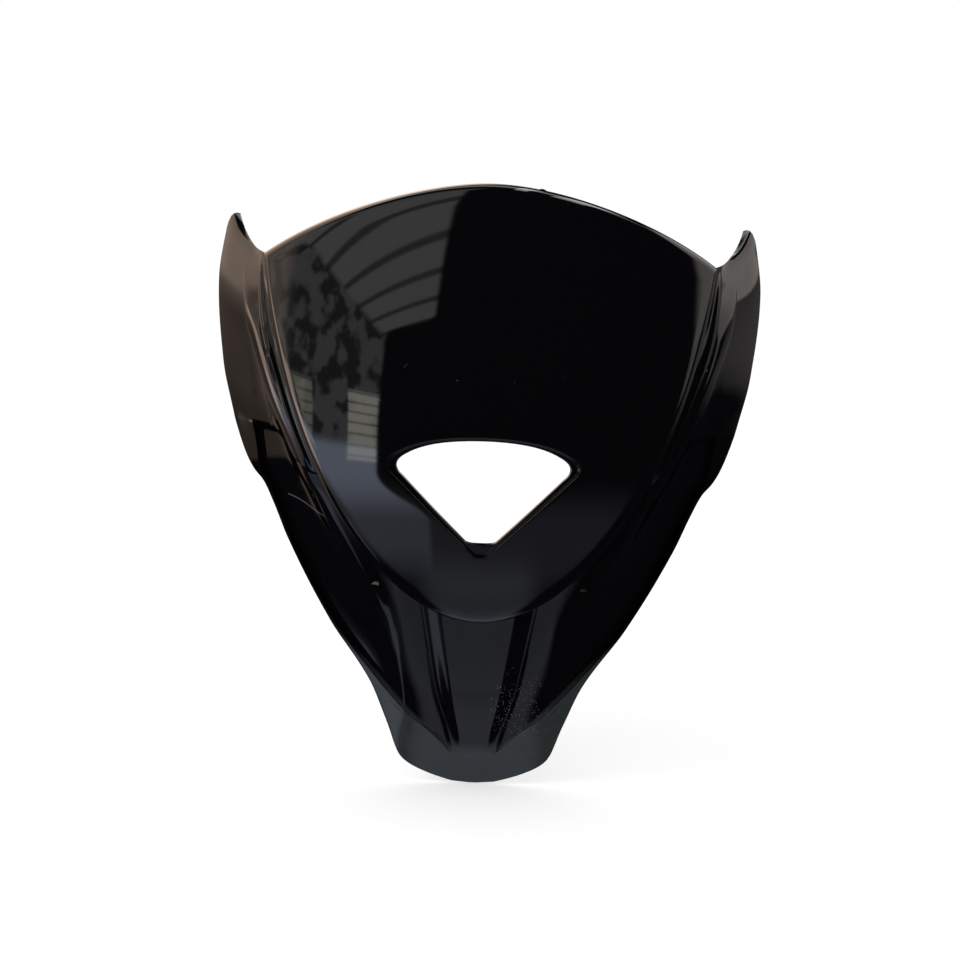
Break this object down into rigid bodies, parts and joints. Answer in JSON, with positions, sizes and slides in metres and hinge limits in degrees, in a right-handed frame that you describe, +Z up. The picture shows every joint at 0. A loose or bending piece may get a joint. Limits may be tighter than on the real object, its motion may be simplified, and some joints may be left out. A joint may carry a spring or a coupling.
{
  "type": "motorcycle front shield",
  "caption": "Gloss-black moulded front shield of a small motorcycle, with a rounded window, horned wings, side recesses, a keel and a chin.",
  "frame": {"origin": "on the middle plane, at the foremost level of the face, in the middle of the window: the front plane of the window's seat", "axes": "+X to the right as seen from the front, +Z up, the face looks along -Y and the screws and pegs point along +Y"},
  "size_m": [0.331, 0.1231, 0.3695],
  "materials": {
    "gloss_plastic": "gloss"
  },
  "bodies": {
    "root": {"front_shield": "gloss_plastic"}
  },
  "joints": []
}
